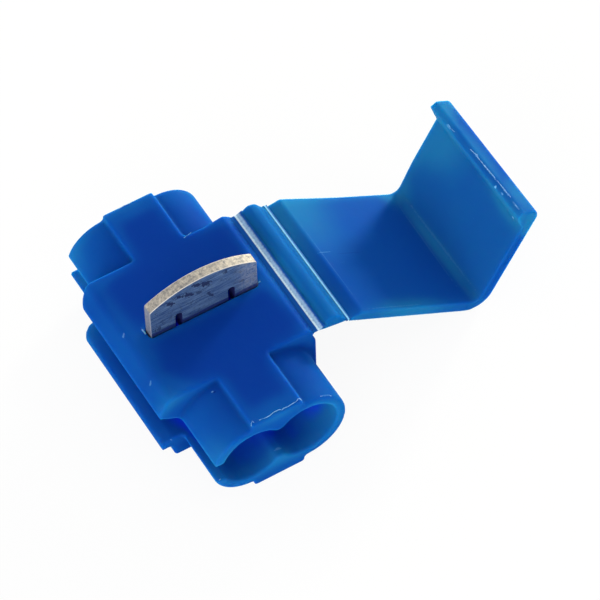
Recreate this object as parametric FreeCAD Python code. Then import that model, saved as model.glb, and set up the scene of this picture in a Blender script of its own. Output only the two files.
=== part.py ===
# In-line quick-splice tap connector with a snap-over cover. All sizes are in millimetres.
# X runs across the body towards the cover, Y runs along the wires and Z is up. z = 0 is the table.
import os
import math
import FreeCAD
import Part
from FreeCAD import Vector

# Wire housing, outside
LENGTH = 25.0            # hood end to hood end, along the wires
HEIGHT = 8.8             # bottom rib to top rib
MID_Z = HEIGHT / 2       # height of both wire axes
BLOCK_LENGTH = 13.6      # central block, along the wires
RIB_WIDTH = 4.8
RIB_PROUD = 0.5          # how far the ribs stand above the block's underside
RIB_EDGE = 0.15
RUN_X = -2.35            # axis of the through wire
TAP_X = 2.65             # axis of the tap wire
HOOD_SINK = 0.6          # the hoods' crowns lie this far inside the ribs' faces
HOOD_R = MID_Z - HOOD_SINK
HOOD_EDGE = 0.25
SIDE_PROUD = 0.62        # how far the block's right wall stands out past the hood
BLOCK_RIGHT = TAP_X + HOOD_R + SIDE_PROUD
CORNER_PLAN = 1.3        # plan radius of the block's two far corners on the jaw side
CORNER_SMALL = 0.25

# Wire housing, inside
HOOD_WALL = 0.85
MOUTH_R = HOOD_R - HOOD_WALL  # the hoods' wide mouths
CUSP_HALF_WIDTH = 0.3    # the blunt ridge between two mouths
CUSP_HALF_HEIGHT = MOUTH_R - 1.0
WIRE_R = 2.1             # the two wire channels in the block
LEAD_R = 2.5             # lead-in at each channel's mouth
LEAD_LENGTH = 0.5
STOP_WALL = 1.5          # wall that stops the tap wire at the far end
SLOT_LOW = MID_Z - 1.25   # the jaw-side slot that the through wire is pushed in by
SLOT_HIGH = MID_Z + 1.05

# Jaws: the upper one is the top plate's edge, the lower one ends in a lip for the catch
JAW_TIP_X = -7.92
JAW_TIP_Z = HEIGHT - 1.9
JAW_TOP_X = -6.55        # where the flat top begins to round down to the tip
JAW_ROOT_X = -5.85
LIP_X = -7.85
LIP_TOP_Z = SLOT_LOW - 0.25
LIP_UNDER_Z = SLOT_LOW - 1.17
LIP_ROOT_X = -7.05
SKIRT_X = -6.6           # the block's lower edge under the lip

# Hinge lines: hinge one joins strap to housing, hinge two joins cover to strap
HINGE_1 = (BLOCK_RIGHT + 0.13, HEIGHT - 0.65)
HINGE_2 = (HINGE_1[0] + 2.95, HINGE_1[1] - 0.7)
BARREL_1 = 0.17          # rounded ends of the strap at the two hinge lines
BARREL_2 = 0.13
HINGE_GAP = 0.05
VALLEY_X = HINGE_1[0] - 1.0  # the flat top ends here and slopes down to hinge one
LEDGE_ROOT_X = HINGE_1[0] - 0.6  # the thin ledge that carries hinge one starts here
SHOULDER_Z = HEIGHT - 1.9  # the right wall leans in above this height

# Strap
STRAP_INSET = 0.1        # how far each end of the strap stands in from the block's faces
STRAP_WIDTH = BLOCK_LENGTH - 2 * STRAP_INSET

# Cover: panel one slopes down from hinge two, panel two rises to the catch
COVER_OVERHANG = 0.05    # how far the cover stands out past each end of the strap
COVER_WIDTH = STRAP_WIDTH + 2 * COVER_OVERHANG
PANEL = 1.05             # thickness of both panels
PANEL_1_SLOPE = 31.6     # degrees below level
PANEL_2_SLOPE = 60.9     # degrees above level
PANEL_1_LENGTH = 14.42   # inside, from hinge two to the inside corner
HINGE_2_DEPTH = 0.92     # hinge two lies this far under panel one's inside face
BEVEL_LENGTH = 1.1       # the bevelled start of panel one
BEND_R = 2.0             # outside of the bend
BEND_INNER_R = 0.8
NOSE_ROOT = 8.62         # along panel two, from the inside corner
NOSE_TIP = 9.85
NOSE_PROUD = 1.15
PANEL_2_LENGTH = 10.5
COVER_CORNER = 0.5       # plan radius of the cover's end corners

# Contact blade
BLADE_LEFT = -4.98
BLADE_RIGHT = 5.14
BLADE_THICKNESS = 1.0
BLADE_BOTTOM = MID_Z + WIRE_R + 0.15  # just above the wire channels while it is up
BLADE_END_TOP = HEIGHT + 3.2
BLADE_MID_TOP = BLADE_END_TOP + 1.45
BLADE_SUNK = 0.1         # how far the crown goes under the top when it is pressed home
BLADE_TRAVEL = BLADE_MID_TOP - HEIGHT + BLADE_SUNK
WIRE_SLOT_WIDTH = 0.65
WIRE_SLOT_TOP = BLADE_BOTTOM + 3.55
WIRE_SLOT_LEAD = 0.55    # half width added by the lead-in at the blade's lower edge
WIRE_SLOT_LEAD_HEIGHT = 0.7
BLADE_CORNER = 0.3
BLADE_EDGE = 0.08
POCKET_GAP = 0.05        # clearance around the blade in its pocket
POCKET_FLOOR_GAP = 0.15


def rounded_edges(corners, place):
    """Edges of a closed outline given as (a, b, radius), each corner rounded by its radius."""
    count = len(corners)
    starts, ends, middles = [], [], []
    for i in range(count):
        a, b, radius = corners[i]
        pa, pb = corners[i - 1][:2]
        na, nb = corners[(i + 1) % count][:2]
        back = math.hypot(pa - a, pb - b)
        on = math.hypot(na - a, nb - b)
        u = ((pa - a) / back, (pb - b) / back)
        v = ((na - a) / on, (nb - b) / on)
        if radius <= 0:
            starts.append((a, b))
            ends.append((a, b))
            middles.append(None)
            continue
        half = math.acos(max(-1.0, min(1.0, u[0] * v[0] + u[1] * v[1]))) / 2
        cut = radius / math.tan(half)
        bis = (u[0] + v[0], u[1] + v[1])
        size = math.hypot(bis[0], bis[1])
        reach = radius / math.sin(half) - radius
        starts.append((a + u[0] * cut, b + u[1] * cut))
        ends.append((a + v[0] * cut, b + v[1] * cut))
        middles.append((a + bis[0] / size * reach, b + bis[1] / size * reach))
    edges = []
    for i in range(count):
        if middles[i]:
            edges.append(Part.Arc(place(*starts[i]), place(*middles[i]), place(*ends[i])).toShape())
        after = (i + 1) % count
        edges.append(Part.makeLine(place(*ends[i]), place(*starts[after])))
    return edges


def profile_prism(corners, y_low, y_high):
    """A profile drawn in X and Z, carried along Y."""
    edges = rounded_edges(corners, lambda a, b: Vector(a, y_low, b))
    return Part.Face(Part.Wire(edges)).extrude(Vector(0, y_high - y_low, 0))


def plan_prism(corners, z_low, z_high):
    """An outline drawn in X and Y, carried up Z."""
    edges = rounded_edges(corners, lambda a, b: Vector(a, b, z_low))
    return Part.Face(Part.Wire(edges)).extrude(Vector(0, 0, z_high - z_low))


def box(x_low, x_high, y_low, y_high, z_low, z_high):
    size = (x_high - x_low, y_high - y_low, z_high - z_low)
    return Part.makeBox(*size, Vector(x_low, y_low, z_low))


def rod(x, z, radius, y_low, y_high):
    """A cylinder along the wires."""
    return Part.makeCylinder(radius, y_high - y_low, Vector(x, y_low, z), Vector(0, 1, 0))


def soften(shape, radius, wanted):
    """Fillets the edges whose middle point the test accepts."""
    edges = [e for e in shape.Edges if wanted(e.valueAt((e.FirstParameter + e.LastParameter) / 2))]
    return shape.makeFillet(radius, edges)


def central_block():
    half = BLOCK_LENGTH / 2
    under = RIB_PROUD
    outline = [
        (SKIRT_X, under, CORNER_SMALL),
        (LIP_ROOT_X, LIP_UNDER_Z + 0.12, 0.1),
        (LIP_X, LIP_UNDER_Z, 0.15),
        (LIP_X, LIP_TOP_Z - 0.15, 0.4),
        (JAW_ROOT_X - 0.9, SLOT_LOW, 0.3),
        (RUN_X, SLOT_LOW, 0),
        (RUN_X, SLOT_HIGH, 0),
        (JAW_ROOT_X, SLOT_HIGH, 0.25),
        (JAW_TIP_X + 0.1, JAW_TIP_Z - 0.25, 0.2),
        (JAW_TIP_X, JAW_TIP_Z + 0.35, 0.3),
        (JAW_TOP_X - 0.35, HEIGHT, 1.0),
        (VALLEY_X, HEIGHT, 0.25),
        (HINGE_1[0] - 0.25, HINGE_1[1] - 0.01, 0),
        (HINGE_1[0], HINGE_1[1], 0),
        (HINGE_1[0], HINGE_1[1] - 0.14, 0),
        (LEDGE_ROOT_X, HINGE_1[1] - 0.2, 0.12),
        (BLOCK_RIGHT, SHOULDER_Z, 0.6),
        (BLOCK_RIGHT, under, 0.5),
    ]
    across = profile_prism(outline, -half, half)
    plan = [
        (JAW_TIP_X, -half, CORNER_SMALL),
        (BLOCK_RIGHT, -half, CORNER_SMALL),
        (BLOCK_RIGHT, half, CORNER_SMALL),
        (JAW_TIP_X, half, CORNER_PLAN),
    ]
    return across.common(plan_prism(plan, -1, HEIGHT + 1))


def hood(y_block, y_end):
    """One hood: two joined round sleeves, softened at the outer end."""
    low, high = min(y_block, y_end), max(y_block, y_end)
    outline = [
        (RUN_X - HOOD_R, MID_Z - HOOD_R, HOOD_R - 0.001),
        (TAP_X + HOOD_R, MID_Z - HOOD_R, HOOD_R - 0.001),
        (TAP_X + HOOD_R, MID_Z + HOOD_R, HOOD_R - 0.001),
        (RUN_X - HOOD_R, MID_Z + HOOD_R, HOOD_R - 0.001),
    ]
    sleeve = profile_prism(outline, low, high)
    return soften(sleeve, HOOD_EDGE, lambda p: abs(p.y - y_end) < 0.001)


def rib(y_low, y_high, z_low, z_high):
    half = RIB_WIDTH / 2
    return soften(
        box(-half, half, y_low, y_high, z_low, z_high),
        RIB_EDGE,
        lambda p: abs(abs(p.x) - half) < 0.001 and (abs(p.z) < 0.001 or abs(p.z - HEIGHT) < 0.001),
    )


def mouth(y_low, y_high):
    """The two round mouths of one hood and the blunt ridge between them."""
    middle = (RUN_X + TAP_X) / 2
    cusp = box(
        middle - CUSP_HALF_WIDTH, middle + CUSP_HALF_WIDTH, y_low, y_high,
        MID_Z - CUSP_HALF_HEIGHT, MID_Z + CUSP_HALF_HEIGHT,
    )
    lobes = rod(RUN_X, MID_Z, MOUTH_R, y_low, y_high).fuse(rod(TAP_X, MID_Z, MOUTH_R, y_low, y_high))
    return lobes.fuse(cusp)


def lead_in(x, y_face, inwards):
    """A cone that guides a wire from the hood into its channel."""
    where = Vector(x, y_face - inwards * 0.01, MID_Z)
    return Part.makeCone(LEAD_R, WIRE_R, LEAD_LENGTH, where, Vector(0, inwards, 0))


def wire_housing():
    half, block, past = LENGTH / 2, BLOCK_LENGTH / 2, 1.0
    solid = central_block()
    for side in (-1, 1):
        solid = solid.fuse(hood(side * (block - past), side * half))
    solid = solid.fuse(rib(-half, half, 0, HEIGHT / 2 - MOUTH_R))
    for side in (-1, 1):
        low, high = sorted((side * (block - past), side * half))
        solid = solid.fuse(rib(low, high, HEIGHT / 2 + MOUTH_R, HEIGHT))
    solid = solid.removeSplitter()
    for side in (-1, 1):
        low, high = sorted((side * block, side * (half + past)))
        solid = solid.cut(mouth(low, high))
    solid = solid.cut(rod(RUN_X, MID_Z, WIRE_R, -half, half))
    solid = solid.cut(rod(TAP_X, MID_Z, WIRE_R, -half, block - STOP_WALL))
    for x, y, way in ((RUN_X, -block, 1), (TAP_X, -block, 1), (RUN_X, block, -1)):
        solid = solid.cut(lead_in(x, y, way))
    slot = box(JAW_TIP_X - past, RUN_X, -half - past, half + past, SLOT_LOW, SLOT_HIGH)
    solid = solid.cut(slot)
    solid = solid.cut(blade_pocket())
    seat = rod(HINGE_1[0], HINGE_1[1], BARREL_1 + HINGE_GAP, -half, half)
    return solid.cut(seat)


def blade_pocket():
    gap = POCKET_GAP
    deep = BLADE_THICKNESS / 2 + gap
    floor = BLADE_BOTTOM - BLADE_TRAVEL - POCKET_FLOOR_GAP
    return box(BLADE_LEFT - gap, BLADE_RIGHT + gap, -deep, deep, floor, HEIGHT + 1)


def hinge_strap():
    """The thick bar between the two hinge lines, humped on top and rounded at each line."""
    half = STRAP_WIDTH / 2
    x1, z1 = HINGE_1
    x2, z2 = HINGE_2
    outline = [
        (x1, z1 - BARREL_1, 0),
        (x1, z1 + BARREL_1 - 0.02, 0),
        (x1 + 0.55, z1 + 0.25, 0.3),
        (x1 + 1.25, z1 + 0.66, 0.5),
        (x2 - 0.95, z1 + 0.42, 0.6),
        (x2 - 0.32, z2 + 0.38, 0.4),
        (x2 - 0.03, z2 + BARREL_2 - 0.01, 0),
        (x2, z2 - BARREL_2, 0),
        (x2 - 0.35, z2 - 0.13, 0.2),
        (x1 + 0.45, z1 - 0.42, 0.3),
    ]
    bar = profile_prism(outline, -half, half)
    bar = bar.fuse(rod(x1, z1, BARREL_1, -half, half))
    return bar.fuse(rod(x2, z2, BARREL_2, -half, half)).removeSplitter()


def turned(origin, along, up, slope):
    """A point given along a panel and up from it, where the panel has this slope in degrees."""
    c, s = math.cos(math.radians(slope)), math.sin(math.radians(slope))
    return (origin[0] + along * c - up * s, origin[1] + along * s + up * c)


def cover_profile():
    """Both panels, the bend, the bevel at hinge two and the catch nose, as one outline."""
    slope_1, slope_2 = -PANEL_1_SLOPE, PANEL_2_SLOPE
    inner = turned(HINGE_2, PANEL_1_LENGTH, HINGE_2_DEPTH, slope_1)
    # the outside corner lies where both outside faces, one panel thickness away, meet
    half_angle = math.radians((180 - PANEL_1_SLOPE - PANEL_2_SLOPE) / 2)
    away = math.radians((180 - PANEL_1_SLOPE + PANEL_2_SLOPE) / 2)
    reach = PANEL / math.sin(half_angle)
    outer = (inner[0] - reach * math.cos(away), inner[1] - reach * math.sin(away))

    def one(along, up, radius):
        return turned(HINGE_2, along, up, slope_1) + (radius,)

    def two(along, up, radius):
        return turned(inner, along, up, slope_2) + (radius,)

    under = HINGE_2_DEPTH - PANEL
    return [
        one(0.0, under, 0),
        outer + (BEND_R,),
        two(PANEL_2_LENGTH, -PANEL, 0.75),
        two(PANEL_2_LENGTH, NOSE_PROUD - 0.2, 0.3),
        two(NOSE_TIP, NOSE_PROUD + 0.05, 0.2),
        two(NOSE_ROOT, 0, 0.5),
        inner + (BEND_INNER_R,),
        one(BEVEL_LENGTH, HINGE_2_DEPTH, 0.3),
        one(0.16, 0.12, 0),
        one(0.0, 0.1, 0),
    ]


def locking_cover():
    half = COVER_WIDTH / 2
    profile = cover_profile()
    end_x = max(p[0] for p in profile)
    shell = profile_prism(profile, -half, half)
    # plan corners of the free end, cut square to the table
    plan = [
        (HINGE_2[0] - 1, -half, 0),
        (end_x, -half, COVER_CORNER),
        (end_x, half, COVER_CORNER),
        (HINGE_2[0] - 1, half, 0),
    ]
    shell = shell.common(plan_prism(plan, -HEIGHT, 2 * HEIGHT))
    return shell.cut(rod(HINGE_2[0], HINGE_2[1], BARREL_2 + HINGE_GAP, -half - 1, half + 1))


def contact_blade():
    """A flat plate with an arched top and two wire slots open at the bottom."""
    half = BLADE_THICKNESS / 2
    middle = (BLADE_LEFT + BLADE_RIGHT) / 2
    place = lambda x, z: Vector(x, -half, z)
    left, right, low = BLADE_LEFT, BLADE_RIGHT, BLADE_BOTTOM
    crown = Part.Arc(
        place(right, BLADE_END_TOP), place(middle, BLADE_MID_TOP), place(left, BLADE_END_TOP)
    ).toShape()
    edges = [
        Part.makeLine(place(left, BLADE_END_TOP), place(left, low)),
        Part.makeLine(place(left, low), place(right, low)),
        Part.makeLine(place(right, low), place(right, BLADE_END_TOP)),
        crown,
    ]
    plate = Part.Face(Part.Wire(edges)).extrude(Vector(0, BLADE_THICKNESS, 0))
    ends = lambda p: abs(p.y) < 0.001 and (
        abs(p.z - low) < 0.001 or abs(p.z - BLADE_END_TOP) < 0.001
    )
    plate = soften(plate, BLADE_CORNER, ends)
    for x in (RUN_X, TAP_X):
        plate = plate.cut(wire_slot(x))
    faces = lambda p: abs(abs(p.y) - half) < 0.001 and p.z > WIRE_SLOT_TOP + 1
    return soften(plate, BLADE_EDGE, faces)


def wire_slot(x):
    """One narrow slot that cuts into the wire, round at its top, with a wider lead-in below."""
    half = WIRE_SLOT_WIDTH / 2
    thick = BLADE_THICKNESS
    low = BLADE_BOTTOM
    lead = half + WIRE_SLOT_LEAD
    outline = [
        (x - lead, low - 0.01, 0),
        (x + lead, low - 0.01, 0),
        (x + half, low + WIRE_SLOT_LEAD_HEIGHT, 0.3),
        (x + half, WIRE_SLOT_TOP, half * 0.98),
        (x - half, WIRE_SLOT_TOP, half * 0.98),
        (x - half, low + WIRE_SLOT_LEAD_HEIGHT, 0.3),
    ]
    return profile_prism(outline, -thick, thick)


os.makedirs("parts", exist_ok=True)
for name, shape in (
    ("wire_housing", wire_housing()),
    ("hinge_strap", hinge_strap()),
    ("locking_cover", locking_cover()),
    ("contact_blade", contact_blade()),
):
    solids = shape.Solids
    if len(solids) != 1 or not shape.isValid():
        raise SystemExit(name + " is not one valid solid")
    solids[0].exportStep("parts/" + name + ".step")
    bounds = shape.BoundBox
    print(name, round(shape.Volume, 2), [round(v, 2) for v in (
        bounds.XMin, bounds.XMax, bounds.YMin, bounds.YMax, bounds.ZMin, bounds.ZMax)])
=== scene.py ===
import math
import bmesh
import bpy
from mathutils import Matrix, Vector


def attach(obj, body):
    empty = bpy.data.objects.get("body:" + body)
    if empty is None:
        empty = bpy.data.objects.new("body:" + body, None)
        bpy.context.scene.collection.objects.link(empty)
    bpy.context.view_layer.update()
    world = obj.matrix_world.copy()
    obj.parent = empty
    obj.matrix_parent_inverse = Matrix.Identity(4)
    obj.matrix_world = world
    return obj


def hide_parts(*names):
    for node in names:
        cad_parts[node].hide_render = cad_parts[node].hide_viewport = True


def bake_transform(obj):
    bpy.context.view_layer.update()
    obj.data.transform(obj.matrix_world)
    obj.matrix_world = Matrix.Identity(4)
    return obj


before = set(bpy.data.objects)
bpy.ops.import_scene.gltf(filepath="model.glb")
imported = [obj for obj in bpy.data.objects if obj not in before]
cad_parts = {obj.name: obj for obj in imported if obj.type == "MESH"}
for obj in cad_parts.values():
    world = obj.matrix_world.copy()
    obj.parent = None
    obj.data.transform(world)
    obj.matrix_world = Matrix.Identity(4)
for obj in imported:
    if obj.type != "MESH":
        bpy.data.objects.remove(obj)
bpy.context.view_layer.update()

mm = 0.001
scene = bpy.context.scene
scene.view_settings.view_transform = "Standard"


# Camera
# The photograph's own view, found from the corners of the housing: about 36 cm away, from the
# near left and well above, with the long lens of a catalogue picture.
look_azimuth, look_elevation, look_roll = (math.radians(a) for a in (-29.151, 54.664, -1.928))
back = Vector((
    math.sin(look_azimuth) * math.cos(look_elevation),
    -math.cos(look_azimuth) * math.cos(look_elevation),
    math.sin(look_elevation),
))
level = Vector((math.cos(look_azimuth), math.sin(look_azimuth), 0))
rise = back.cross(level)
right = level * math.cos(look_roll) + rise * math.sin(look_roll)
up = rise * math.cos(look_roll) - level * math.sin(look_roll)
lens = bpy.data.cameras.new("camera")
lens.sensor_width = 36
lens.lens = 255.85
lens.clip_start, lens.clip_end = 0.02, 5
camera = bpy.data.objects.new("camera", lens)
camera.matrix_world = Matrix((right, up, back)).transposed().to_4x4()
aside, above, away = 8.003, 5.635, 359.102
camera.location = (right * aside + up * above + back * away) * mm
scene.collection.objects.link(camera)
scene.camera = camera


# Wire housing
# The body of the connector, one moulding of blue polypropylene: a block with two wire channels,
# a joined pair of hoods at each end and a rib above and below. The plastic lets some light
# through, so it is deep blue where it is thick and paler at its edges, rims and thin jaws.
def shade(red, green, blue):
    """A colour read off a screen, 0 to 255, in Blender's linear terms."""
    return tuple(((c / 255 + 0.055) / 1.055) ** 2.4 for c in (red, green, blue)) + (1.0,)


def add(tree, kind, inputs={}, **settings):
    """A node with its settings, and its inputs given as values or as sockets to join."""
    made = tree.nodes.new(kind)
    for name, value in settings.items():
        setattr(made, name, value)
    for key, value in inputs.items():
        if isinstance(value, bpy.types.NodeSocket):
            tree.links.new(value, made.inputs[key])
        else:
            made.inputs[key].default_value = value
    return made


def sums(tree, operation, a, b=0.0, c=0.0, clamp=False):
    """One step of arithmetic, in a shader or a geometry tree."""
    made = add(tree, "ShaderNodeMath", {0: a, 1: b, 2: c}, operation=operation, use_clamp=clamp)
    return made.outputs[0]


def blended(tree, share, first, second):
    """A colour between two others."""
    mix = add(tree, "ShaderNodeMix", {0: share, 6: first, 7: second}, data_type="RGBA")
    return mix.outputs[2]


def spread(tree, value, low, high, to_low=0.0, to_high=1.0):
    """Smoothly carries one range of a value onto another."""
    made = add(tree, "ShaderNodeMapRange", {0: value, 1: low, 2: high, 3: to_low, 4: to_high},
               interpolation_type="SMOOTHSTEP")
    return made.outputs[0]


def new_group(name, kind, inputs, outputs):
    """A node group with named inputs (name, socket type, value) and outputs (name, type)."""
    tree = bpy.data.node_groups.new(name, kind)
    for label, socket_type, value in inputs:
        socket = tree.interface.new_socket(label, in_out="INPUT", socket_type=socket_type)
        if value is not None:
            socket.default_value = value
    for label, socket_type in outputs:
        tree.interface.new_socket(label, in_out="OUTPUT", socket_type=socket_type)
    return tree, tree.nodes.new("NodeGroupInput").outputs, tree.nodes.new("NodeGroupOutput")


# Light through the plastic: from each point, rays are sent into the moulding. Each that comes out soon,
# and into the open, lets light in, and the share that does is kept on the mesh, to be painted into the
# plastic's colour as painted light.
light_tree, given, result = new_group("light through the plastic", "GeometryNodeTree", [
    ("Geometry", "NodeSocketGeometry", None),
    ("Edge Rounds", "NodeSocketInt", 4),
    ("Reach", "NodeSocketFloat", 2.5 * mm),
    ("Open Space", "NodeSocketFloat", 6 * mm),
    ("Bright Side", "NodeSocketVector", (0.55, 0.75, 0.35)),
    ("Rays", "NodeSocketInt", 28),
    ("Seed", "NodeSocketInt", 7),
    ("Material", "NodeSocketMaterial", None),
], [("Geometry", "NodeSocketGeometry")])
tree = light_tree
rounded = add(tree, "GeometryNodeBlurAttribute", {
    "Value": add(tree, "GeometryNodeInputPosition").outputs[0],
    "Iterations": given["Edge Rounds"]}, data_type="FLOAT_VECTOR")
skin = add(tree, "GeometryNodeSetPosition", {"Geometry": given[0], "Position": rounded.outputs[0]})
place = add(tree, "GeometryNodeInputPosition").outputs[0]
normal = add(tree, "GeometryNodeInputNormal").outputs[0]


def vector_sum(tree, operation, a, b=None, scale=None):
    """One step of vector arithmetic."""
    inputs = {0: a}
    if b is not None:
        inputs[1] = b
    if scale is not None:
        inputs["Scale"] = scale
    made = add(tree, "ShaderNodeVectorMath", inputs, operation=operation)
    return made.outputs["Value" if operation in ("LENGTH", "DOT_PRODUCT", "DISTANCE") else "Vector"]


first_ray = add(tree, "GeometryNodeRepeatInput")
last_ray = add(tree, "GeometryNodeRepeatOutput")
first_ray.pair_with_output(last_ray)
last_ray.repeat_items.clear()
last_ray.repeat_items.new("FLOAT", "Through")
last_ray.repeat_items.new("FLOAT", "Open")
tree.links.new(given["Rays"], first_ray.inputs["Iterations"])
one_way = add(tree, "FunctionNodeRandomValue", {
    0: (-1, -1, -1), 1: (1, 1, 1),
    "ID": add(tree, "FunctionNodeInputInt", integer=1).outputs[0],
    "Seed": sums(tree, "ADD", first_ray.outputs["Iteration"], given["Seed"]),
}, data_type="FLOAT_VECTOR").outputs[0]
one_way = vector_sum(tree, "NORMALIZE", one_way)
lean = 0.97  # under 1, so that no ray runs along the surface
inward = vector_sum(tree, "NORMALIZE", vector_sum(
    tree, "SUBTRACT", vector_sum(tree, "SCALE", one_way, scale=lean), normal))
outward = vector_sum(tree, "NORMALIZE", vector_sum(
    tree, "ADD", vector_sum(tree, "SCALE", one_way, scale=lean), normal))


def ray(start, offset_way, offset, way, length):
    """A ray against the moulding's own skin, begun a hair off the surface."""
    begun = vector_sum(light_tree, "ADD", start, vector_sum(
        light_tree, "SCALE", offset_way, scale=offset))
    return add(light_tree, "GeometryNodeRaycast", {
        "Target Geometry": skin.outputs[0], "Source Position": begun,
        "Ray Direction": way, "Ray Length": length}).outputs


hair = 0.03 * mm
whole_part = 20 * mm
inside = ray(place, normal, -hair, inward, whole_part)
beyond = ray(inside["Hit Position"], inside["Hit Normal"], hair, inside["Hit Normal"],
             given["Open Space"])
outside = ray(place, normal, hair, outward, given["Open Space"])
fade = sums(tree, "POWER", math.e, sums(
    tree, "DIVIDE", sums(tree, "MULTIPLY", inside["Hit Distance"], -1.0), given["Reach"]))
shadowed = sums(tree, "MULTIPLY", beyond["Is Hit"], 0.35)
comes_out = sums(tree, "MULTIPLY", fade, sums(
    tree, "SUBTRACT", inside["Is Hit"], shadowed), clamp=True)
# Exits that face the Bright Side count for more: painted light from one side.
towards = vector_sum(tree, "DOT_PRODUCT", inside["Hit Normal"], given["Bright Side"])
comes_out = sums(tree, "MULTIPLY", comes_out, sums(tree, "MULTIPLY_ADD", towards, 0.3, 0.85))
tree.links.new(sums(tree, "ADD", first_ray.outputs["Through"], comes_out), last_ray.inputs["Through"])
tree.links.new(sums(tree, "ADD", first_ray.outputs["Open"], sums(
    tree, "SUBTRACT", 1.0, outside["Is Hit"])), last_ray.inputs["Open"])
through = sums(tree, "DIVIDE", last_ray.outputs["Through"], given["Rays"])
open_share = sums(tree, "DIVIDE", last_ray.outputs["Open"], given["Rays"])
kept = skin.outputs[0]
even_rounds = 9
for label, value in (("light", through), ("open", open_share)):
    even = add(tree, "GeometryNodeBlurAttribute", {"Value": value, "Iterations": even_rounds},
               data_type="FLOAT")
    kept = add(tree, "GeometryNodeStoreNamedAttribute", {
        "Geometry": kept, "Name": label, "Value": even.outputs[0]},
        data_type="FLOAT", domain="POINT").outputs[0]
kept = add(tree, "GeometryNodeRealizeInstances", {"Geometry": kept}).outputs[0]
kept = add(tree, "GeometryNodeSetMaterial", {"Geometry": kept, "Material": given["Material"]}).outputs[0]
tree.links.new(kept, result.inputs[0])


def plain_mesh(obj):
    """Turns what the object's modifiers make into its own mesh."""
    drawn = obj.evaluated_get(bpy.context.evaluated_depsgraph_get())
    mesh = bpy.data.meshes.new_from_object(drawn)
    obj.modifiers.clear()
    obj.data = mesh
    mesh.shade_smooth()
    return obj


def set_input(modifier, label, value):
    """Sets a geometry tree's named input on a modifier, by the socket's identifier."""
    for item in modifier.node_group.interface.items_tree:
        if item.item_type == "SOCKET" and item.in_out == "INPUT" and item.name == label:
            modifier[item.identifier] = value


def moulded(node, name, skin_size, material, rounds, reshape):
    """A solid's softened and reshaped skin. Its edges get small radii, and its light is kept."""
    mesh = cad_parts[node].data.copy()
    mesh.materials.clear()
    shape = bmesh.new()
    shape.from_mesh(mesh)
    bmesh.ops.remove_doubles(shape, verts=shape.verts, dist=0.001 * mm)
    shape.to_mesh(mesh)
    shape.free()
    obj = bpy.data.objects.new(name, mesh)
    scene.collection.objects.link(obj)
    fine = obj.modifiers.new("skin", "REMESH")
    fine.mode, fine.voxel_size, fine.adaptivity = "VOXEL", skin_size, 0
    plain_mesh(obj)
    for vertex in obj.data.vertices:
        vertex.co = reshape(vertex.co / mm) * mm
    light = obj.modifiers.new("light", "NODES")
    light.node_group = light_tree
    set_input(light, "Edge Rounds", rounds)
    set_input(light, "Material", material)
    return plain_mesh(obj)


# Shared finishes of the moulded plastic.
colour_group, given, result = new_group("light inside plastic", "ShaderNodeTree", [
    ("Light", "NodeSocketFloat", 0.0), ("Open", "NodeSocketFloat", 1.0),
    ("Thick", "NodeSocketColor", (0, 0, 0, 1)), ("Middle", "NodeSocketColor", (0, 0, 0, 1)),
    ("Thin", "NodeSocketColor", (0, 0, 0, 1)), ("Painted Hollow Light", "NodeSocketColor", (0, 0, 0, 1)),
    ("Vector", "NodeSocketVector", (0, 0, 0)),
], [("Color", "NodeSocketColor")])
tree = colour_group
cloud = add(tree, "ShaderNodeTexNoise", {"Vector": given["Vector"], "Scale": 260.0, "Detail": 3.0})
level_now = sums(tree, "MULTIPLY_ADD", sums(tree, "SUBTRACT", cloud.outputs[0], 0.5), 0.05,
                 given["Light"])
colour = blended(tree, spread(tree, level_now, 0.13, 0.36), given["Thick"], given["Middle"])
colour = blended(tree, spread(tree, level_now, 0.34, 0.72), colour, given["Thin"])
# Where little of the open is in sight, the colour goes to a bright, strong blue: painted light in the
# hollows, for the light that reaches them through the walls.
colour = blended(tree, spread(tree, given["Open"], 0.58, 0.2), colour, given["Painted Hollow Light"])
tree.links.new(colour, result.inputs[0])

skin_group, given, result = new_group("moulded skin", "ShaderNodeTree", [
    ("Vector", "NodeSocketVector", (0, 0, 0)), ("Gloss", "NodeSocketFloat", 0.36),
    ("Grain", "NodeSocketFloat", 1.0), ("Flow", "NodeSocketFloat", 1.0),
], [("Roughness", "NodeSocketFloat"), ("Height", "NodeSocketFloat"), ("Rubbed", "NodeSocketFloat")])
tree = skin_group
fine_grain = add(tree, "ShaderNodeTexNoise", {"Vector": given["Vector"], "Scale": 5200.0, "Detail": 4.0})
waves = add(tree, "ShaderNodeTexNoise", {"Vector": given["Vector"], "Scale": 420.0, "Detail": 2.0})
long_way = add(tree, "ShaderNodeMapping", {
    "Vector": given["Vector"], "Rotation": (0.1, 0.2, 0.5), "Scale": (0.35, 3.2, 1.6)})
strokes = add(tree, "ShaderNodeTexNoise", {
    "Vector": long_way.outputs[0], "Scale": 1500.0, "Detail": 6.0, "Roughness": 0.62})
patches = add(tree, "ShaderNodeTexNoise", {"Vector": given["Vector"], "Scale": 330.0, "Detail": 2.0})
rubbed = sums(tree, "MULTIPLY", spread(tree, strokes.outputs[0], 0.66, 0.74),
              spread(tree, patches.outputs[0], 0.56, 0.68))
height = sums(tree, "MULTIPLY", sums(tree, "SUBTRACT", fine_grain.outputs[0], 0.5), given["Grain"])
height = sums(tree, "MULTIPLY_ADD", sums(tree, "SUBTRACT", waves.outputs[0], 0.5),
              sums(tree, "MULTIPLY", given["Flow"], 6.0), height)
height = sums(tree, "MULTIPLY_ADD", rubbed, -0.9, height)
rough = sums(tree, "MULTIPLY_ADD", sums(tree, "SUBTRACT", waves.outputs[0], 0.5), 0.16, given["Gloss"])
rough = sums(tree, "MULTIPLY_ADD", rubbed, 0.2, rough)
for label, value in (("Roughness", rough), ("Height", height), ("Rubbed", rubbed)):
    tree.links.new(value, result.inputs[label])

# One soft mark, used for wear, for painted light and for painted shade.
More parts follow.
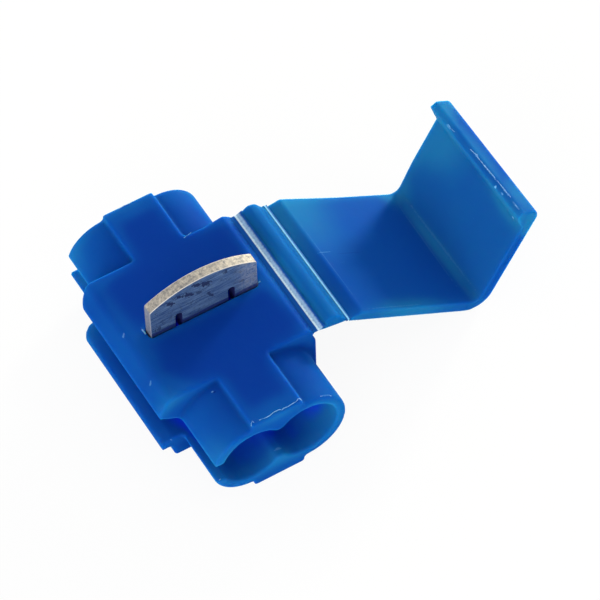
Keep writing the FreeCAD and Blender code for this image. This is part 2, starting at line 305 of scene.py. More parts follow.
mark_group, given, result = new_group("one wear and painted light mark", "ShaderNodeTree", [
    ("Vector", "NodeSocketVector", (0, 0, 0)), ("Place", "NodeSocketVector", (0, 0, 0)),
    ("Turn", "NodeSocketVector", (0, 0, 0)), ("Size", "NodeSocketVector", (1, 1, 1)),
    ("Ragged", "NodeSocketFloat", 0.6), ("Core", "NodeSocketFloat", 0.55),
    ("Amount", "NodeSocketFloat", 1.0), ("Mask", "NodeSocketFloat", 0.0),
], [("Mask", "NodeSocketFloat")])
tree = mark_group
local = add(tree, "ShaderNodeMapping", {
    "Vector": given["Vector"], "Location": given["Place"], "Rotation": given["Turn"],
    "Scale": given["Size"]}, vector_type="TEXTURE").outputs[0]
torn = add(tree, "ShaderNodeTexNoise", {"Vector": given["Vector"], "Scale": 4200.0, "Detail": 3.0})
edge = sums(tree, "MULTIPLY_ADD", sums(tree, "SUBTRACT", torn.outputs[0], 0.5),
            sums(tree, "MULTIPLY", given["Ragged"], 3.0), vector_sum(tree, "LENGTH", local))
mark = sums(tree, "MULTIPLY", spread(tree, edge, 1.0, given["Core"]), given["Amount"])
tree.links.new(sums(tree, "MAXIMUM", given["Mask"], mark), result.inputs[0])


def marked(tree, where, marks, ragged, core):
    """The strongest of several marks at each point, each with soft or ragged sides.

    A mark is its place and half sizes in millimetres, its amount, and its turn in degrees if it
    has one.
    """
    mask = None
    for place, size, amount, *turned in marks:
        turn = turned[0] if turned else (0, 0, 0)
        mark = add(tree, "ShaderNodeGroup", node_tree=mark_group)
        tree.links.new(where, mark.inputs["Vector"])
        mark.inputs["Place"].default_value = Vector(place) * mm
        mark.inputs["Turn"].default_value = [math.radians(t) for t in turn]
        mark.inputs["Size"].default_value = Vector(size) * mm
        for label, value in (("Ragged", ragged), ("Core", core), ("Amount", amount)):
            mark.inputs[label].default_value = value
        if mask:
            tree.links.new(mask, mark.inputs["Mask"])
        mask = mark.outputs[0]
    return mask


def blue_plastic(name, thick, middle, thin, depth, gloss, grain, flow, rubs, glows, dark_marks):
    """Blue polypropylene with its light and its skin.

    It has its own rubbed places, some of them painted highlights; glows, which are painted light that
    makes places paler as if more light came through; and dark marks, some of them painted shade.
    """
    material = bpy.data.materials.new(name)
    material.use_nodes = True
    tree = material.node_tree
    surface = tree.nodes["Principled BSDF"]
    where = add(tree, "ShaderNodeTexCoord").outputs["Object"]
    light = add(tree, "ShaderNodeAttribute", attribute_name="light").outputs["Fac"]
    open_share = add(tree, "ShaderNodeAttribute", attribute_name="open").outputs["Fac"]
    # Glows add painted light to the light level.
    light = sums(tree, "ADD", light, marked(tree, where, glows, ragged=0.0, core=0.0))
    inner = add(tree, "ShaderNodeGroup", node_tree=colour_group)
    # The hollows get a bright, strong blue, as painted light.
    for label, value in (("Thick", thick), ("Middle", middle), ("Thin", thin),
                         ("Painted Hollow Light", shade(22, 60, 228))):
        inner.inputs[label].default_value = value
    for label, value in (("Light", light), ("Open", open_share), ("Vector", where)):
        tree.links.new(value, inner.inputs[label])
    skin = add(tree, "ShaderNodeGroup", node_tree=skin_group)
    tree.links.new(where, skin.inputs["Vector"])
    for label, value in (("Gloss", gloss), ("Grain", grain), ("Flow", flow)):
        skin.inputs[label].default_value = value
    colour = blended(tree, sums(tree, "MULTIPLY", skin.outputs["Rubbed"], 0.35),
                     inner.outputs[0], shade(70, 150, 210))
    if rubs:
        rubbed = marked(tree, where, rubs, ragged=0.6, core=0.55)
        colour = blended(tree, rubbed, colour, shade(120, 185, 225))
    # Dark marks: a speck on the housing, and painted shade on the strap and the cover.
    darkened = marked(tree, where, dark_marks, ragged=0.3, core=0.3)
    colour = blended(tree, darkened, colour, shade(4, 34, 112))
    tree.links.new(colour, surface.inputs["Base Color"])
    tree.links.new(skin.outputs["Roughness"], surface.inputs["Roughness"])
    bump = add(tree, "ShaderNodeBump", {
        "Strength": 0.35, "Distance": 0.02 * mm, "Height": skin.outputs["Height"]})
    tree.links.new(bump.outputs[0], surface.inputs["Normal"])
    surface.inputs["Specular IOR Level"].default_value = 0.008
    surface.inputs["Subsurface Weight"].default_value = 1.0
    surface.inputs["Subsurface Radius"].default_value = (0.06, 0.65, 1.0)
    surface.inputs["Subsurface Scale"].default_value = depth * mm
    return material


def further(value, low, high):
    """A smooth step from 0 to 1."""
    share = min(1.0, max(0.0, (value - low) / (high - low)))
    return share * share * (3 - 2 * share)


def pocket_room(place):
    """Sets the pocket's walls back, since the skin rounds its corners and the blade needs its room.

    The pocket is 1.1 mm wide, from -5.03 to 5.19 mm in X, and its floor is at a Z of 1.75 mm.
    """
    side_wall, left_wall, right_wall, floor_edge = 0.42, -4.75, 4.9, 1.95
    long_side, near_end = 0.045, 0.08
    if abs(place.y) < 0.66 and -5.2 < place.x < 5.36 and place.z > 1.6:
        if abs(place.y) > side_wall:
            back_by = long_side if -4.6 < place.x < 4.6 else near_end
            place.y += math.copysign(back_by, place.y)
        if place.x > right_wall:
            place.x += 0.09
        if place.x < left_wall:
            place.x -= 0.07
        if place.z < floor_edge:
            place.z -= 0.09
    return place


def housing_fit(place):
    """Carries the block's far face out, to where the photograph has it, and clears the pocket."""
    out = 0.25 + 0.18 * further(place.x, 4.0, 6.5)
    place.y += out * further(place.y, 2.5, 6.4) * (1 - further(place.y, 7.2, 12.2))
    return pocket_room(place)


housing_rubs = [
    ((-7.9, -4.05, 8.2), (0.22, 0.12, 0.5), 0.5),
    ((-5.26, 0.3, 8.8), (0.09, 0.45, 0.2), 0.75),
    ((-6.86, 0.89, 8.66), (0.1, 0.26, 0.3), 0.35, (0, 0, -40)),
    ((-7.2, -4.21, 8.4), (0.1, 0.24, 0.4), 0.3, (0, 0, -40)),
    ((5.35, -0.35, 8.8), (0.18, 0.1, 0.2), 0.5),
    ((-3.25, -7.4, 8.2), (0.16, 0.08, 0.3), 0.5),
    ((4.7, -12.25, 7.6), (0.8, 0.08, 0.3), 0.16, (0, 35, 0)),
    ((0.29, -11.7, 2.44), (0.4, 0.16, 0.3), 0.2),
    ((-7.1, -6.8, 3.1), (0.45, 0.2, 0.08), 0.4, (0, 30, 0)),
]
# Painted light: places made paler at the hood ends and mouths, along the block's left side and its right
# edge, and at the far left.
housing_painted_light = [
    ((-5.0, -12.5, 5.0), (4.0, 4.4, 5.0), 0.2),
    ((-5.0, 12.5, 5.0), (4.4, 5.0, 5.4), 0.2),
    ((4.4, -12.5, 4.6), (4.4, 4.0, 5.0), 0.2),
    ((4.4, 12.5, 4.6), (3.4, 4.4, 5.0), 0.18),
    ((0.0, -12.5, 8.8), (3.4, 2.6, 2.0), 0.2),
    ((0.0, 12.5, 8.8), (3.4, 2.6, 2.0), 0.16),
    ((-7.9, -7.2, 8.8), (5.0, 5.4, 3.4), 0.34),
    ((-8.2, 0.0, 8.8), (5.0, 9.0, 3.0), 0.2),
    ((6.5, 0.0, 8.6), (1.9, 9.0, 1.6), 0.22),
    ((-7.9, 6.8, 3.6), (3.0, 5.0, 2.4), 0.22),
    ((-6.4, 12.5, 5.4), (3.4, 5.0, 4.4), 0.22),
    ((0.0, -12.5, 2.6), (7.4, 2.6, 2.8), 0.4),
]
housing_dark_marks = [
    ((-3.1, -7.55, 8.05), (0.16, 0.1, 0.3), 0.7),
]
housing_plastic = blue_plastic(
    "blue housing plastic", shade(8, 57, 148), shade(14, 80, 163), shade(26, 108, 172),
    depth=1.2, gloss=0.6, grain=1.0, flow=1.0,
    rubs=housing_rubs, glows=housing_painted_light, dark_marks=housing_dark_marks)
housing = moulded("wire_housing", "housing_shell", skin_size=0.155 * mm, material=housing_plastic,
                  rounds=1, reshape=housing_fit)
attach(housing, "housing")
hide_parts("wire_housing")


def strap_root(place):
    """Draws the strap's root down to the first web, in the valley, and fills its hump a little."""
    web_height, root, slope = 8.12, 7.35, 0.55
    if place.x < 8.0:
        place.z = min(place.z, web_height + max(0.0, place.x - root) * slope)
    place.y += 0.34 * further(place.y, 2.0, 6.7)
    place.z += 0.14 * further(place.z, 8.0, 8.5) * further(place.x, 7.9, 8.7)
    return place


# Painted light: paler ends, and a paler left flank, which turns from the lamp.
strap_painted_light = [
    ((8.6, 6.7, 8.2), (1.6, 2.2, 1.2), 0.06),
    ((8.6, -6.7, 8.2), (1.6, 2.0, 1.2), 0.1),
    ((8.15, 0.0, 8.4), (0.8, 12.0, 0.9), 0.3),
]
# Painted shade: a darker band on the right flank, where the lamp falls.
strap_painted_shade = [
    ((9.55, 0.0, 8.2), (0.5, 12.0, 0.8), 0.22),
]
strap_plastic = blue_plastic(
    "blue strap plastic", shade(9, 74, 150), shade(15, 88, 156), shade(20, 100, 162),
    depth=1.8, gloss=0.6, grain=0.8, flow=1.2,
    rubs=(), glows=strap_painted_light, dark_marks=strap_painted_shade)
strap = moulded("hinge_strap", "strap_bar", skin_size=0.06 * mm, material=strap_plastic,
                rounds=34, reshape=strap_root)
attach(strap, "strap")
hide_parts("hinge_strap")


# Locking cover
# Two thin panels with a bend between them and a catch nose at the free end, moulded with the
# rest. Light comes in at every edge, so the panels are paler there than in the middle.
cover_rubs_and_painted_highlights = [
    ((26.8, 4.4, 10.0), (0.12, 0.35, 0.2), 0.4),
    ((27.1, 0.5, 10.2), (0.14, 0.3, 0.16), 0.6),
    ((27.12, -1.6, 10.22), (0.07, 1.2, 0.16), 0.5),
    ((27.16, -3.9, 10.24), (0.08, 0.8, 0.16), 0.5),
    ((27.1, -5.7, 10.2), (0.1, 0.7, 0.2), 0.25),
    # A pale line beside a dark one on the first panel's crease: a painted highlight.
    ((12.0, 0.35, 7.4), (0.9, 0.05, 0.3), 0.22, (0, 31.6, 0)),
    ((26.79, -3.01, 9.97), (0.14, 0.16, 0.16), 1.0),
    ((26.86, -3.93, 10.04), (0.1, 0.16, 0.1), 0.5),
    ((27.06, -5.37, 8.23), (0.12, 0.16, 0.14), 0.7),
    # Pale lines along the bend's creases, the bevel's edge and the near edge: painted highlights.
    ((22.13, 0.0, 1.16), (0.09, 6.2, 0.3), 0.05, (0, 0, -2)),
    ((23.2, 0.0, 1.2), (0.2, 6.2, 0.09), 0.07),
    ((11.8, -1.2, 7.6), (0.06, 5.6, 0.3), 0.08, (0, 31.6, 0)),
    ((14.6, -6.46, 5.8), (3.6, 0.05, 0.3), 0.1, (0, 31.6, 0)),
]
# Painted light: paler places on the second panel's far top, on the first panel's far side and near edge,
# along the nose and the bend, and at the bend's far corner.
cover_painted_light = [
    ((25.6, 7.4, 8.6), (5.0, 7.5, 6.0), 0.42),
    ((26.2, -6.0, 9.2), (2.6, 8.0, 2.6), 0.26),
    ((11.6, 6.0, 7.0), (8.0, 9.0, 5.0), 0.24),
    ((16.0, -6.8, 4.6), (7.0, 2.2, 1.6), 0.24, (0, 31.6, 0)),
    ((27.9, -4.6, 8.2), (1.6, 5.0, 3.0), 0.6),
    ((27.6, 1.0, 9.8), (1.6, 8.5, 1.8), 0.17),
    ((22.75, 0.0, 0.8), (1.2, 11.0, 1.1), 0.17),
    ((22.6, 6.9, 1.4), (2.4, 3.4, 2.6), 0.2),
]
# Painted shade: a dark line on the first panel's crease, beside its painted highlight.
cover_painted_crease_shade = [
    ((14.3, 0.05, 5.98), (2.0, 0.05, 0.3), 0.35, (0, 31.6, 0)),
]
cover_plastic = blue_plastic(
    "blue cover plastic", shade(8, 51, 150), shade(12, 74, 158), shade(30, 114, 168),
    depth=1.4, gloss=0.6, grain=0.8, flow=1.3,
    rubs=cover_rubs_and_painted_highlights, glows=cover_painted_light, dark_marks=cover_painted_crease_shade)


def cover_far_side(place):
    """Carries the cover's far corners out a little, and draws the nose's ragged far end."""
    place.y += 0.2 * further(place.y, 2.0, 6.7) * (1 - further(place.x, 10.5, 18.0))
    place.y += 0.18 * further(place.y, 2.0, 6.7) * further(place.x, 23.0, 25.0)
    ragged = 0.22 + 0.07 * math.sin(place.z * 13 + 1) + 0.05 * math.sin(place.z * 31)
    ragged *= 1 - further(place.x, 26.5, 26.9)
    on_nose = further(place.z, 8.5, 8.9) * further(place.x, 25.4, 26.0)
    place.y += (0.24 + ragged) * further(place.y, 5.6, 6.7) * on_nose
    return place


cover = moulded("locking_cover", "cover_panels", skin_size=0.11 * mm, material=cover_plastic,
                rounds=2, reshape=cover_far_side)
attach(cover, "cover")
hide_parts("locking_cover")


# Living hinges
# Two webs of the same plastic, under a quarter of a millimetre thick, on which the strap and the
# cover turn. Folding has stretched them, and stretched polypropylene goes white.
def whitened_plastic(name, line, band, clear):
    """Stretched plastic in the web's own coordinates: a fine line, then a band that fades out."""
    material = bpy.data.materials.new(name)
    material.use_nodes = True
    tree = material.node_tree
    surface = tree.nodes["Principled BSDF"]
    where = add(tree, "ShaderNodeAttribute", attribute_name="web").outputs["Vector"]
    across = add(tree, "ShaderNodeSeparateXYZ", {0: where}).outputs
    stretched = add(tree, "ShaderNodeMapping", {"Vector": where, "Scale": (6, 60, 1)})
    streaks = add(tree, "ShaderNodeTexNoise", {
        "Vector": stretched.outputs[0], "Scale": 1.0, "Detail": 4.0, "Roughness": 0.6}).outputs[0]
    wander = sums(tree, "MULTIPLY_ADD", sums(tree, "SUBTRACT", streaks, 0.5), 0.12, across[0])
    colour = blended(tree, spread(tree, across[0], 0.385, 0.415), clear, line)
    colour = blended(tree, spread(tree, wander, 0.51, 0.57), colour, band)
    colour = blended(tree, spread(tree, wander, 0.68, 0.84), colour, clear)
    colour = blended(tree, sums(tree, "MULTIPLY", spread(tree, streaks, 0.46, 0.66), 0.25),
                     colour, clear)
    tree.links.new(colour, surface.inputs["Base Color"])
    tree.links.new(sums(tree, "MULTIPLY_ADD", streaks, 0.3, 0.3), surface.inputs["Roughness"])
    surface.inputs["Specular IOR Level"].default_value = 0.03
    bump = add(tree, "ShaderNodeBump", {"Strength": 0.3, "Distance": 0.02 * mm, "Height": streaks})
    tree.links.new(bump.outputs[0], surface.inputs["Normal"])
    surface.inputs["Subsurface Weight"].default_value = 0.3
    surface.inputs["Subsurface Radius"].default_value = (0.5, 0.8, 1.0)
    surface.inputs["Subsurface Scale"].default_value = 0.6 * mm
    return material


def hinge_web(name, over, under, near, far, material):
    """A thin web drawn in X and Z, over and under, and carried along the hinge from near to far.

    It has its own coordinates, across and along, each from 0 to 1.
    """
    outline = over + under[::-1]
    steps = 90
    shape = bmesh.new()
    where = shape.verts.layers.float_vector.new("web")
    rows = []
    for step in range(steps + 1):
        y = near + (far - near) * step / steps
        row = []
        for x, z in outline:
            vertex = shape.verts.new(Vector((x, y, z)) * mm)
            vertex[where] = ((x - over[0][0]) / (over[-1][0] - over[0][0]), step / steps, 0)
            row.append(vertex)
        rows.append(row)
    count = len(outline)
    for low, high in zip(rows, rows[1:]):
        for i in range(count):
            shape.faces.new((low[i], low[(i + 1) % count], high[(i + 1) % count], high[i]))
    for row, turned in ((rows[0], True), (rows[-1], False)):
        half = count // 2
        for i in range(half - 1):
            corners = [row[i], row[i + 1], row[count - 2 - i], row[count - 1 - i]]
            shape.faces.new(corners[::-1] if turned else corners)
    bmesh.ops.recalc_face_normals(shape, faces=shape.faces)
    mesh = bpy.data.meshes.new(name)
    shape.to_mesh(mesh)
    shape.free()
    mesh.materials.append(material)
    mesh.shade_smooth()
    obj = bpy.data.objects.new(name, mesh)
    scene.collection.objects.link(obj)
    return obj


web_near, web_far = -6.7, 7.0
first_web = hinge_web(
    "first_hinge_web",
    [(6.72, 8.31), (6.88, 8.225), (6.98, 8.205), (7.10, 8.20), (7.20, 8.20), (7.30, 8.20),
     (7.40, 8.21), (7.52, 8.26), (7.66, 8.34), (7.80, 8.41), (7.96, 8.44)],
    [(6.72, 8.10), (6.88, 8.07), (6.98, 8.07), (7.10, 8.07), (7.20, 8.07), (7.30, 8.07),
     (7.40, 8.07), (7.52, 8.09), (7.66, 8.12), (7.80, 8.16), (7.96, 8.20)],
    web_near, web_far, whitened_plastic(
        "whitened first hinge", shade(208, 238, 255), shade(158, 192, 226), shade(16, 82, 162)))
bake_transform(first_web)
second_web = hinge_web(
    "second_hinge_web",
    [(9.94, 7.67), (10.01, 7.635), (10.07, 7.61), (10.12, 7.60), (10.17, 7.59), (10.25, 7.57),
     (10.36, 7.55)],
    [(9.94, 7.44), (10.01, 7.42), (10.07, 7.41), (10.12, 7.405), (10.17, 7.40), (10.25, 7.39),
     (10.36, 7.385)],
    web_near, web_far, whitened_plastic(
        "whitened second hinge", shade(146, 206, 246), shade(130, 196, 242), shade(14, 80, 154)))
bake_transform(second_web)


# Flash and burrs
# Slivers of plastic, squeezed out where the mould's halves met or torn at its corners, and so thin
# that they look pale. Most stand along the upper rib's near end and the catch nose, and small ones
# on the jaw tips, the ridge between the hoods, the hood's edge and the block's far corner.
flash_tree, given, result = new_group("ragged flash", "GeometryNodeTree", [
    ("Geometry", "NodeSocketGeometry", None), ("Step", "NodeSocketFloat", 0.05 * mm),
    ("Thickness", "NodeSocketFloat", 0.03 * mm), ("Wander", "NodeSocketFloat", 0.12 * mm),
    ("Material", "NodeSocketMaterial", None),
], [("Geometry", "NodeSocketGeometry")])
tree = flash_tree
beads = add(tree, "GeometryNodeResampleCurve", {0: given[0]})
beads.mode = "LENGTH"
tree.links.new(given["Step"], beads.inputs["Length"])
here = add(tree, "GeometryNodeInputPosition").outputs[0]
wobble = add(tree, "ShaderNodeTexNoise", {"Vector": here, "Scale": 2600.0, "Detail": 2.0})
lumps = add(tree, "ShaderNodeTexNoise", {"Vector": here, "Scale": 5200.0, "Detail": 3.0})
moved = add(tree, "GeometryNodeSetPosition", {
    "Geometry": beads.outputs[0],
    "Offset": vector_sum(tree, "SCALE", vector_sum(
        tree, "SUBTRACT", wobble.outputs["Color"], (0.5, 0.5, 0.5)), scale=given["Wander"])})
thickness = add(tree, "GeometryNodeSetCurveRadius", {
    "Curve": moved.outputs[0], "Radius": spread(tree, lumps.outputs[0], 0.44, 0.64, 0.05, 1.6)})
around = add(tree, "GeometryNodeCurvePrimitiveCircle", {"Resolution": 6, "Radius": given["Thickness"]})
ridge = add(tree, "GeometryNodeCurveToMesh", {
    "Curve": thickness.outputs[0], "Profile Curve": around.outputs[0], "Fill Caps": True})
made = add(tree, "GeometryNodeRealizeInstances", {"Geometry": ridge.outputs[0]}).outputs[0]
made = add(tree, "GeometryNodeSetMaterial", {"Geometry": made, "Material": given["Material"]}).outputs[0]
tree.links.new(made, result.inputs[0])

burr_plastic = bpy.data.materials.new("torn pale plastic")
burr_plastic.use_nodes = True
tree = burr_plastic.node_tree
surface = tree.nodes["Principled BSDF"]
where = add(tree, "ShaderNodeTexCoord").outputs["Object"]
mottle = add(tree, "ShaderNodeTexNoise", {"Vector": where, "Scale": 3800.0, "Detail": 3.0}).outputs[0]
burr_colour = blended(tree, spread(tree, mottle, 0.35, 0.65), shade(44, 118, 194), shade(126, 188, 230))
tree.links.new(burr_colour, surface.inputs["Base Color"])
tree.links.new(sums(tree, "MULTIPLY_ADD", mottle, 0.3, 0.3), surface.inputs["Roughness"])


def flash(name, paths, body, thickness):
    """Flash along several paths, each a list of points in millimetres, on one body."""
    curve = bpy.data.curves.new(name, "CURVE")
    curve.dimensions = "3D"
    for path in paths:
        line = curve.splines.new("POLY")
        line.points.add(len(path) - 1)
        for point, place in zip(line.points, path):
            point.co = (*(Vector(place) * mm), 1)
    drawn = bpy.data.objects.new(name + "_path", curve)
    scene.collection.objects.link(drawn)
    grow = drawn.modifiers.new("flash", "NODES")
    grow.node_group = flash_tree
    set_input(grow, "Thickness", thickness * mm)
    set_input(grow, "Material", burr_plastic)
    mesh = bpy.data.meshes.new_from_object(drawn.evaluated_get(bpy.context.evaluated_depsgraph_get()))
    bpy.data.objects.remove(drawn)
    mesh.shade_smooth()
    obj = bpy.data.objects.new(name, mesh)
    scene.collection.objects.link(obj)
    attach(obj, body)


rib_top = 8.81
flash("housing_flash", [
    [(-1.59, -12.22, rib_top), (-1.1, -12.26, rib_top), (-0.71, -12.3, rib_top), (-0.4, -12.2, rib_top),
     (-0.09, -12.16, rib_top), (0.35, -12.2, rib_top), (0.48, -12.34, rib_top), (0.64, -12.28, rib_top),
     (1.03, -12.3, rib_top), (1.5, -12.24, rib_top), (1.93, -12.21, rib_top), (2.14, -12.1, rib_top)],
    [(-2.4, -12.3, 8.66), (-2.31, -12.16, 8.78), (-2.12, -12.0, rib_top), (-2.1, -12.2, rib_top)],
    [(2.02, -12.2, rib_top), (2.14, -12.06, 8.83), (2.3, -12.16, 8.8), (2.36, -12.3, 8.7)],
    [(-0.96, -12.38, 7.1), (-0.87, -12.4, 7.04), (-0.78, -12.38, 7.08)],
    [(-5.78, -12.36, 5.86), (-5.66, -12.38, 5.92), (-5.52, -12.36, 5.9)],
    [(-5.62, -12.3, 3.2), (-5.48, -12.24, 3.17)],
    [(4.12, -12.27, 7.88), (4.3, -12.27, 7.8)],
    [(4.98, -12.3, 7.36), (5.12, -12.31, 7.25)],
    [(2.28, 6.84, 8.82), (2.7, 6.9, 8.82), (3.06, 6.98, 8.81)],
    [(-0.9, 12.36, 8.8), (-0.2, 12.36, 8.79), (0.4, 12.36, 8.8)],
], "housing", thickness=0.03)
flash("cover_flash", [
    [(26.88, 4.6, 10.06), (26.83, 4.2, 10.0), (26.93, 3.6, 10.1)],
    [(27.02, 1.3, 10.18), (27.06, 0.8, 10.2), (27.15, 0.4, 10.24), (27.07, 0.14, 10.2)],
    [(27.08, 0.1, 10.2), (27.08, -0.6, 10.21), (27.12, -1.5, 10.23), (27.16, -2.35, 10.24)],
    [(27.16, -2.7, 10.24), (27.15, -3.46, 10.24), (27.17, -4.2, 10.25), (27.2, -4.75, 10.26)],
    [(27.1, -5.6, 10.2), (27.08, -6.0, 10.19)],
], "cover", thickness=0.028)


# Contact blade
# A tin-plated copper-alloy plate a millimetre thick, blanked with an arched top and two slots
# that bite into the wires. Its sheared top edge is warm and grainy, its faces brushed and worn.
scuff_marks = [
    ((-3.05, -0.5, 12.0), (0.55, 0.4, 0.26), 1.0, (0, 30, 0)),
    ((-2.15, -0.5, 12.35), (0.55, 0.4, 0.22), 1.0, (0, 22, 0)),
    ((-1.3, -0.5, 12.05), (0.6, 0.4, 0.26), 1.0, (0, 34, 0)),
    ((-0.5, -0.5, 12.8), (0.5, 0.4, 0.24), 1.0, (0, 26, 0)),
    ((0.25, -0.5, 12.45), (0.7, 0.4, 0.32), 1.0, (0, 32, 0)),
    ((-0.4, -0.5, 11.7), (0.45, 0.4, 0.15), 0.8, (0, 24, 0)),
    ((0.75, -0.5, 10.6), (0.7, 0.4, 0.16), 0.9, (0, 60, 0)),
    ((2.2, -0.5, 12.7), (0.26, 0.4, 0.2), 0.9),
    ((3.7, -0.5, 10.4), (0.26, 0.4, 0.2), 0.7),
    ((-4.3, -0.5, 9.4), (0.3, 0.4, 0.3), 0.8),
]


def plated_metal():
    """Tin plate: grainy on the sheared edge, with brushing, pits and scuffs on the faces, paler to the
    right.

    It has a painted highlight on the rims, and painted shade on the left end, the foot and the slot
    walls.
    """
    material = bpy.data.materials.new("worn tin plate")
    material.use_nodes = True
    tree = material.node_tree
    surface = tree.nodes["Principled BSDF"]
    where = add(tree, "ShaderNodeTexCoord").outputs["Object"]
    across = add(tree, "ShaderNodeSeparateXYZ", {0: where}).outputs
    off_middle = sums(tree, "ABSOLUTE", across["Y"])
    face = spread(tree, off_middle, 0.478 * mm, 0.496 * mm)
    # A painted highlight: a pale line along the rims, where the edge meets the faces.
    rim = sums(tree, "MULTIPLY", spread(tree, off_middle, 0.40 * mm, 0.46 * mm),
               sums(tree, "SUBTRACT", 1.0, face))
    lengthwise = add(tree, "ShaderNodeMapping", {
        "Vector": where, "Rotation": (0, 0.05, 0), "Scale": (0.14, 1, 2.4)})
    brushed = add(tree, "ShaderNodeTexNoise", {
        "Vector": lengthwise.outputs[0], "Scale": 3600.0, "Detail": 6.0, "Roughness": 0.72}).outputs[0]
    grit = add(tree, "ShaderNodeTexNoise", {
        "Vector": where, "Scale": 3200.0, "Detail": 6.0, "Roughness": 0.75}).outputs[0]
    zone = add(tree, "ShaderNodeTexNoise", {"Vector": where, "Scale": 420.0, "Detail": 2.0}).outputs[0]
    scuffs = marked(tree, where, scuff_marks, ragged=1.1, core=0.75)
    worn = sums(tree, "MULTIPLY", spread(tree, grit, 0.50, 0.62), spread(tree, zone, 0.40, 0.56))
    dark = sums(tree, "MULTIPLY", sums(tree, "MAXIMUM", scuffs, sums(tree, "MULTIPLY", worn, 0.6)), face)
    # Painted shade: the walls inside the slots are darker and bluer.
    shaded_slot_wall = sums(tree, "MULTIPLY", spread(tree, across["Z"], 10.7 * mm, 10.4 * mm), sums(
        tree, "MULTIPLY", spread(tree, across["X"], -4.9 * mm, -4.7 * mm),
        spread(tree, across["X"], 5.05 * mm, 4.9 * mm)))
    shaded_slot_wall = sums(tree, "MULTIPLY", shaded_slot_wall, spread(tree, off_middle, 0.499 * mm, 0.49 * mm))
    edge_colour = blended(tree, spread(tree, grit, 0.32, 0.68),
                          shade(112, 112, 114), shade(198, 188, 172))
    edge_colour = blended(tree, sums(tree, "MULTIPLY", rim, 0.7), edge_colour, shade(232, 226, 216))
    # Painted shade: the left end is greyer and bluer, as it turns from the lamp.
    shaded_left_end = spread(tree, across["X"], -4.9 * mm, -4.96 * mm)
    edge_colour = blended(tree, sums(tree, "MULTIPLY", shaded_left_end, 0.62), edge_colour, shade(92, 108, 142))
    face_colour = blended(tree, spread(tree, brushed, 0.34, 0.66),
                          shade(40, 76, 128), shade(120, 152, 184))
    # The faces grow paler and grainier towards the right end.
    paler_right_end = sums(tree, "MULTIPLY", spread(tree, across["X"], 2.8 * mm, 4.4 * mm),
                spread(tree, grit, 0.36, 0.6))
    face_colour = blended(tree, sums(tree, "MULTIPLY", paler_right_end, 0.8), face_colour, shade(176, 186, 194))
    # Painted shade: the faces are darker and bluer at the foot, where they go into the pocket.
    shaded_foot = spread(tree, across["Z"], 9.25 * mm, 8.95 * mm)
    face_colour = blended(tree, sums(tree, "MULTIPLY", shaded_foot, 0.8), face_colour, shade(10, 28, 116))
    colour = blended(tree, face, edge_colour, face_colour)
    colour = blended(tree, dark, colour, shade(8, 32, 74))
    colour = blended(tree, shaded_slot_wall, colour, shade(10, 18, 84))
    tree.links.new(colour, surface.inputs["Base Color"])
    rough = sums(tree, "MULTIPLY_ADD", brushed, 0.3, sums(tree, "MULTIPLY_ADD", face, -0.22, 0.48))
    tree.links.new(sums(tree, "MULTIPLY_ADD", dark, 0.25, rough), surface.inputs["Roughness"])
    metal = sums(tree, "MULTIPLY_ADD", face, 0.2, 0.3)
    dull = sums(tree, "MAXIMUM", dark, shaded_slot_wall)
    tree.links.new(sums(tree, "MULTIPLY", metal, sums(tree, "SUBTRACT", 1.0, dull)),
                   surface.inputs["Metallic"])
    height = sums(tree, "MULTIPLY_ADD", dark, -1.5, sums(tree, "ADD", grit, brushed))
    bump = add(tree, "ShaderNodeBump", {"Strength": 0.6, "Distance": 0.02 * mm, "Height": height})
    tree.links.new(bump.outputs[0], surface.inputs["Normal"])
    return material


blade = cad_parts["contact_blade"]
blade.data.materials.clear()
blade.data.materials.append(plated_metal())


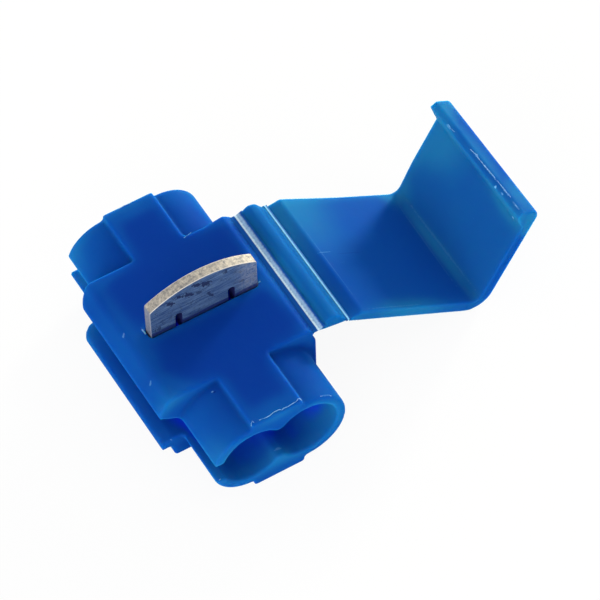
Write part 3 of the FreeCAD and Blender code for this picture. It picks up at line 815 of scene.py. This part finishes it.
# Floor and light
# A white studio sweep, shown to the camera and to reflections as plain white, with only a faint
# shadow kept. A slightly warm lamp stands low on the far right, and a larger, weaker one fills in
# from the near left.
def white_floor():
    """White paper that shows a faint shadow."""
    material = bpy.data.materials.new("white paper")
    material.use_nodes = True
    tree = material.node_tree
    tree.nodes.clear()
    path = add(tree, "ShaderNodeLightPath").outputs
    seen = sums(tree, "MAXIMUM", path["Is Camera Ray"], sums(
        tree, "MAXIMUM", path["Is Glossy Ray"], path["Is Transmission Ray"]))
    paper = add(tree, "ShaderNodeBsdfDiffuse", {"Color": (0.9, 0.9, 0.9, 1)}).outputs[0]
    plain = add(tree, "ShaderNodeEmission", {"Color": (1, 1, 1, 1), "Strength": 1.0}).outputs[0]
    plain_share = 0.93  # the rest shows the shadow
    both = add(tree, "ShaderNodeMixShader", {
        0: sums(tree, "MULTIPLY", seen, plain_share), 1: paper, 2: plain}).outputs[0]
    add(tree, "ShaderNodeOutputMaterial", {"Surface": both})
    return material


floor_mesh = bpy.data.meshes.new("floor")
reach = 1200 * mm
corners = [(-reach, -reach, 0), (reach, -reach, 0), (reach, reach, 0), (-reach, reach, 0)]
floor_mesh.from_pydata(corners, [], [(0, 1, 2, 3)])
floor_mesh.materials.append(white_floor())
floor = bpy.data.objects.new("floor", floor_mesh)
floor.location.z = -0.02 * mm
scene.collection.objects.link(floor)


def lamp(name, way, distance, width, height, power, colour=(1, 1, 1)):
    """A soft box that looks at the connector from one direction. Sizes in metres, power in watts."""
    data = bpy.data.lights.new(name, "AREA")
    data.color = colour
    data.shape, data.size, data.size_y, data.energy = "RECTANGLE", width, height, power
    obj = bpy.data.objects.new(name, data)
    aim = Vector((8, 0, 4)) * mm  # the middle of the open part
    obj.location = aim + Vector(way).normalized() * distance
    obj.rotation_euler = (aim - obj.location).to_track_quat("-Z", "Y").to_euler()
    scene.collection.objects.link(obj)


lamp("far right soft box", way=(1.05, 0.53, 0.24), distance=0.62, width=0.10, height=0.18,
     power=4.4, colour=(1.0, 0.96, 0.79))
lamp("near left fill", way=(-0.75, -0.62, 0.34), distance=0.65, width=0.5, height=0.4, power=2.1)
world = bpy.data.worlds.new("studio")
scene.world = world
world.use_nodes = True
tree = world.node_tree
tree.nodes.clear()
path = add(tree, "ShaderNodeLightPath").outputs
seen = sums(tree, "MAXIMUM", path["Is Camera Ray"], path["Is Glossy Ray"])
strength = sums(tree, "MULTIPLY_ADD", seen, 0.2, 0.8)
sky = add(tree, "ShaderNodeBackground", {"Color": (1, 1, 1, 1), "Strength": strength}).outputs[0]
add(tree, "ShaderNodeOutputWorld", {"Surface": sky})
